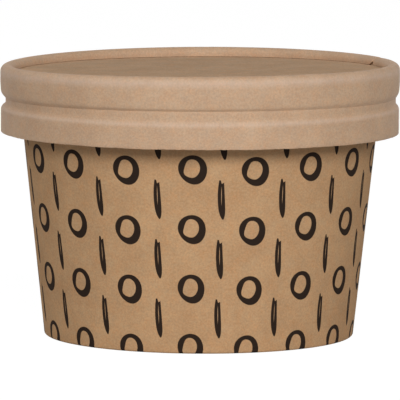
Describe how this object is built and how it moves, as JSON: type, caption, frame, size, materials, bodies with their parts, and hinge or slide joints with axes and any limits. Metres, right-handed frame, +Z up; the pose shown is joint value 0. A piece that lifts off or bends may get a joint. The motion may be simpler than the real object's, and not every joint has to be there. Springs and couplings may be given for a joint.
{
  "type": "paper soup cup",
  "caption": "Short tapered soup cup of brown paper board with a rolled rim, a folded foot, a recessed base and a press-on lid of the same board.",
  "frame": {"origin": "centre of the foot, on the surface that the cup stands on", "axes": "+Z up along the cup's axis, +X to the right and -Y towards the viewer of the picture"},
  "size_m": [0.0932, 0.0932, 0.064],
  "materials": {
    "cup_board": "matt unbleached brown board with fine fibre flecks, printed outside with rows of near-black rings and slit dashes, slightly glossy coating inside",
    "base_board": "matt unbleached brown board, slightly glossy coating on the food side",
    "lid_board": "matt unbleached brown board, paler than the cup, with fine mottled fibres and raw cut edges",
    "panel_board": "matt unbleached brown board with fine mottled fibres"
  },
  "bodies": {
    "cup": {"cup_wall": "cup_board", "cup_base": "base_board"},
    "lid": {"lid_ring": "lid_board", "lid_panel": "panel_board"}
  },
  "joints": [
    {"name": "lid_lift", "type": "slide", "parent": "cup", "child": "lid", "axis": [0, 0, 1], "range_m": [0, 0.04]}
  ]
}
